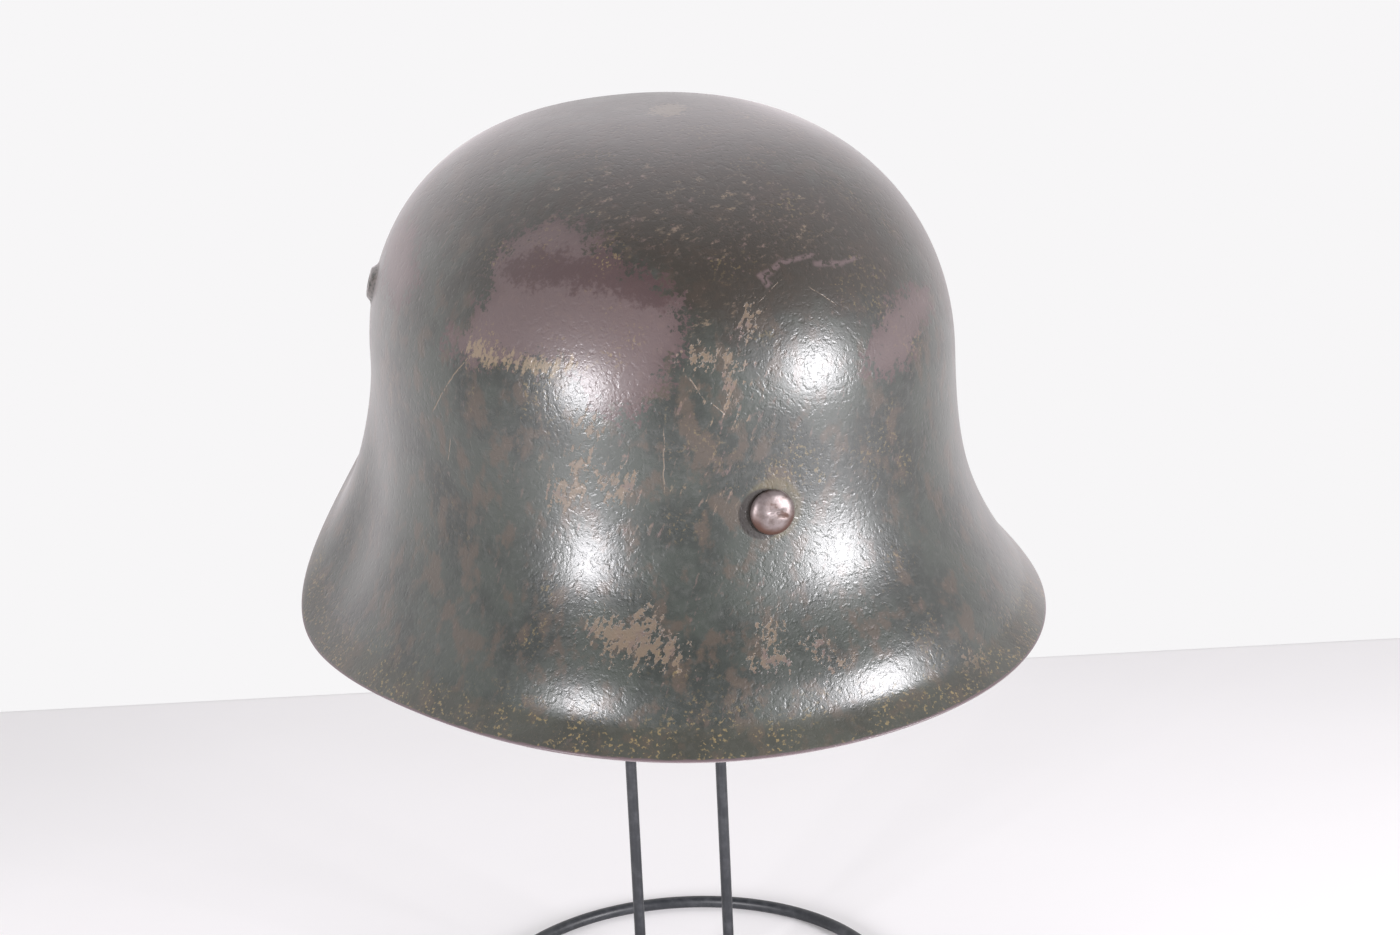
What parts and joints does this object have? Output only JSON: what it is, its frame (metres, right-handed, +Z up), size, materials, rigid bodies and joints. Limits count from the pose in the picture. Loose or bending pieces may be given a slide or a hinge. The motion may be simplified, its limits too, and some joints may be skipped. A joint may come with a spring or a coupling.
{
  "type": "military steel helmet on a wire stand",
  "caption": "Pressed steel combat helmet with visor, flared ear and neck skirt, side vents and rivets, resting on a welded wire display stand.",
  "frame": {"origin": "on the surface that the stand rests on, midway between the ends and the sides of the helmet", "axes": "+Z up, the visor faces -Y, the nape faces +Y, and the wearer's left is +X"},
  "size_m": [0.2476, 0.2776, 0.3238],
  "materials": {
    "field_green_paint": "worn satin field green over primer",
    "worn_rivet_steel": "bare worn steel",
    "black_wire_enamel": "satin black enamel"
  },
  "bodies": {
    "root": {"helmet_shell": "field_green_paint", "rivet_rear": "worn_rivet_steel", "rivet_front_left": "worn_rivet_steel", "rivet_front_right": "worn_rivet_steel", "wire_stand": "black_wire_enamel"}
  },
  "joints": []
}
